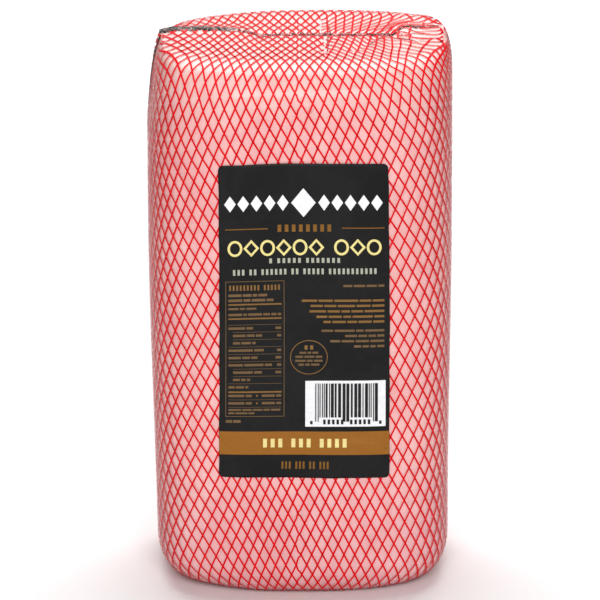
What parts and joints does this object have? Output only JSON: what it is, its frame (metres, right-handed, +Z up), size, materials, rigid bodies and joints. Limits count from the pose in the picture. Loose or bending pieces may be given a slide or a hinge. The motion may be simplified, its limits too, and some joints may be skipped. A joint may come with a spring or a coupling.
{
  "type": "vacuum-packed boneless cooked ham",
  "caption": "Boneless cooked ham block, vacuum packed in clear film printed with a red diamond net, standing on its end with a plain dark label on its front.",
  "frame": {"origin": "middle of the footprint box, on the surface that the pack stands on", "axes": "+Z up along the pack, from the end it stands on to the sealed end; -Y is the front, with the label; +X is to the right as seen from the front"},
  "size_m": [0.165, 0.1343, 0.3025],
  "materials": {
    "film": "clear glossy shrink film over pale pink cooked meat, printed with a red diamond net",
    "label": null
  },
  "bodies": {
    "root": {"ham_pack": "film", "label": "label"}
  },
  "joints": []
}
